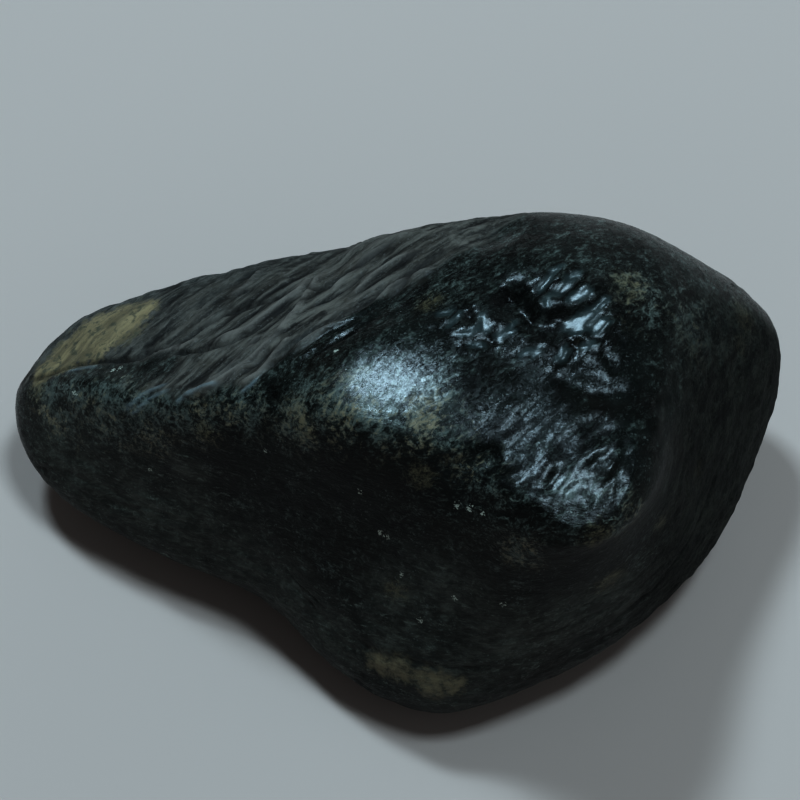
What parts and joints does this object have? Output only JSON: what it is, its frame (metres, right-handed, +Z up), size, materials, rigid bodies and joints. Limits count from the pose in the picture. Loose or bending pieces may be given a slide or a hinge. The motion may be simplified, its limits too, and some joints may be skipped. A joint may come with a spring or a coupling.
{
  "type": "rough jadeite",
  "caption": "River-worn cobble of black-skinned rough jadeite: a pear-shaped loose stone with a narrow tail and a thick rounded head, resting on a ground-flat patch.",
  "frame": {"origin": "middle of the stone's box in x and y, on the surface that the stone rests on", "axes": "+Z up; +X along the stone's long way, from the narrow tail to the thick head; +Y towards its long straight back, away from the blunt front tip"},
  "size_m": [0.0934, 0.055, 0.0428],
  "materials": {
    "jadeite_skin": "glossy, wet-looking greenish-black weathered skin with a matte grey wrinkled back slope and ochre patches"
  },
  "bodies": {
    "root": {"jadeite_stone": "jadeite_skin"}
  },
  "joints": []
}
